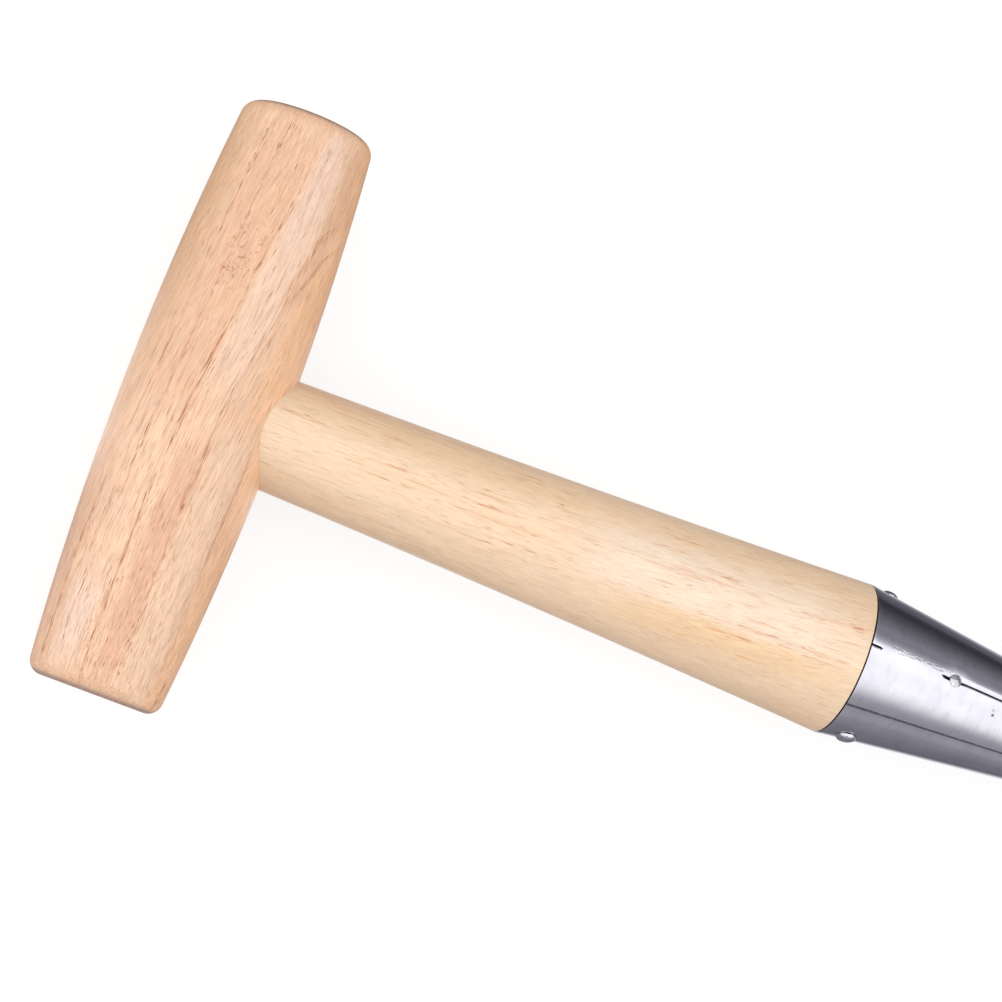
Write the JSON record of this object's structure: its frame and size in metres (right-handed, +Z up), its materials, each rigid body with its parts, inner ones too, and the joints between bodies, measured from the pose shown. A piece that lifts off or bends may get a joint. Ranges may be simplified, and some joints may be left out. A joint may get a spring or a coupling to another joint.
{
  "type": "garden widger",
  "caption": "Wooden T-handled widger with a turned tapering stem and a rolled, seamed and nailed steel cone point for making planting holes.",
  "frame": {"origin": "on the surface that the tool lies on, under the middle of its bounding box", "axes": "+X along the stem from the crossbar to the steel point, +Y along the crossbar, +Z up from the surface that the tool lies on"},
  "size_m": [0.28, 0.12, 0.0323],
  "materials": {
    "crossbar_wood": "sanded pinkish brown hardwood with long brown streaks and short pores",
    "stem_wood": "sanded pale straw-coloured hardwood with fine streaks along the stem",
    "brushed_steel": "cold rolled sheet, lightly brushed, with a satin reflection",
    "nail_steel": "bright drawn steel wire with a smooth domed head"
  },
  "bodies": {
    "root": {"crossbar": "crossbar_wood", "shaft": "stem_wood", "steel_cone": "brushed_steel", "seam_nail": "nail_steel", "rim_nail_left": "nail_steel", "rim_nail_right": "nail_steel"}
  },
  "joints": []
}
